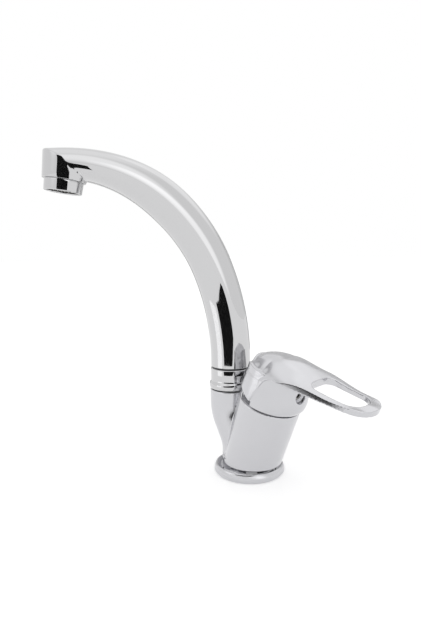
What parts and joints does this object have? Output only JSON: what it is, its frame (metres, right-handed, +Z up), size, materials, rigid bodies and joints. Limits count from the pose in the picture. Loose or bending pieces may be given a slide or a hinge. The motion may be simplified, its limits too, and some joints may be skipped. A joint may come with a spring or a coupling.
{
  "type": "single-lever basin mixer tap",
  "caption": "Chrome single-lever basin mixer: forked body with a leaning barrel, loop lever, and a swivelling swan-neck spout with an aerator.",
  "frame": {"origin": "centre of the round foot on the deck plane", "axes": "+Z up out of the deck, +X towards the lever in the plane of the leaning barrel and the spout boss"},
  "size_m": [0.1877, 0.1309, 0.2222],
  "materials": {
    "chrome": "bright chrome plate over cast brass",
    "plain_brass": "turned",
    "stainless": "plain turned stainless steel",
    "black_rubber": "moulded",
    "dark_acetal": "turned",
    "white_acetal": "moulded",
    "grey_plastic": "moulded",
    "pale_plastic": "moulded",
    "ceramic": "lapped alumina ceramic"
  },
  "bodies": {
    "base": {"body_casting": "chrome", "base_gasket": "black_rubber", "collar_washer": "black_rubber", "spout_collar": "chrome", "slide_ring": "dark_acetal", "cartridge_base": "grey_plastic", "port_seals": "black_rubber", "disc_seals": "black_rubber", "fixed_disc": "ceramic", "cartridge_housing": "grey_plastic", "bush_glide": "white_acetal", "cartridge_nut": "plain_brass", "dome_ring": "chrome"},
    "spout": {"spout_tube": "chrome", "spout_sleeve": "plain_brass", "sleeve_o_rings": "black_rubber", "guide_ring": "white_acetal", "retaining_clip": "stainless", "aerator_ring": "chrome", "aerator_screen": "stainless", "aerator_cage": "pale_plastic", "jet_plate": "pale_plastic", "aerator_washer": "black_rubber"},
    "turret": {"turning_bush": "white_acetal", "pivot_pin": "stainless"},
    "handle": {"lever_handle": "chrome", "handle_screw": "stainless", "stem": "stainless"},
    "valve_disc": {"moving_disc": "ceramic", "disc_carrier": "white_acetal"}
  },
  "joints": [
    {"name": "spout_swivel", "type": "hinge", "parent": "base", "child": "spout", "pos_m": [-0.017, 0, 0.066], "axis": [0, 0, 1], "continuous": true},
    {"name": "handle_turn", "type": "hinge", "parent": "base", "child": "turret", "pos_m": [0.01844, 0, 0.05478], "axis": [0.319, 0, 0.9478], "range_deg": [-45, 45]},
    {"name": "handle_lift", "type": "hinge", "parent": "turret", "child": "handle", "pos_m": [0.02035, 0, 0.06047], "axis": [0, -1, 0], "range_deg": [0, 18]},
    {"name": "disc_slide", "type": "slide", "parent": "turret", "child": "valve_disc", "axis": [0.9478, 0, -0.319], "range_m": [0, 0.0027]}
  ],
  "couplings": [
    {"joint": "disc_slide", "follows": "handle_lift", "m_per_rad": 0.0085}
  ]
}
